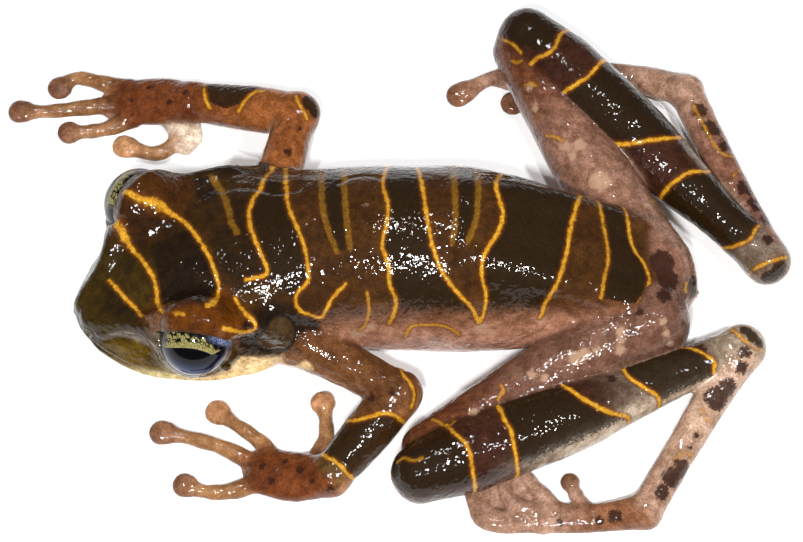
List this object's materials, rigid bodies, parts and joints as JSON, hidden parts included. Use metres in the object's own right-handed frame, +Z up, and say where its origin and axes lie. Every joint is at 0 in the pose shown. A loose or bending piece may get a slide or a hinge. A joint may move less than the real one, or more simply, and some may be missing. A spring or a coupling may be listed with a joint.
{
  "type": "tree frog",
  "caption": "Life-size tree frog at rest on the floor, belly down, legs folded, with bulging eyes, banded back and round finger discs. Still model.",
  "frame": {"origin": "middle of the frog's outline on the floor, under the belly", "axes": "+Z up; the snout points along -X and a little to the frog's left, and the frog's left side is towards -Y"},
  "size_m": [0.0758, 0.0526, 0.0149],
  "materials": {
    "skin": "wet",
    "eye": "wet"
  },
  "bodies": {
    "root": {"head": "skin", "torso": "skin", "eye_left": "eye", "eye_right": "eye", "upper_arm_left": "skin", "upper_arm_right": "skin", "forearm_left": "skin", "forearm_right": "skin", "palm_left": "skin", "palm_right": "skin", "finger_1_left": "skin", "finger_2_left": "skin", "finger_3_left": "skin", "finger_4_left": "skin", "finger_1_right": "skin", "finger_2_right": "skin", "finger_3_right": "skin", "finger_4_right": "skin", "thigh_left": "skin", "thigh_right": "skin", "shank_left": "skin", "shank_right": "skin", "tarsus_left": "skin", "tarsus_right": "skin", "foot_left": "skin", "foot_right": "skin"}
  },
  "joints": []
}
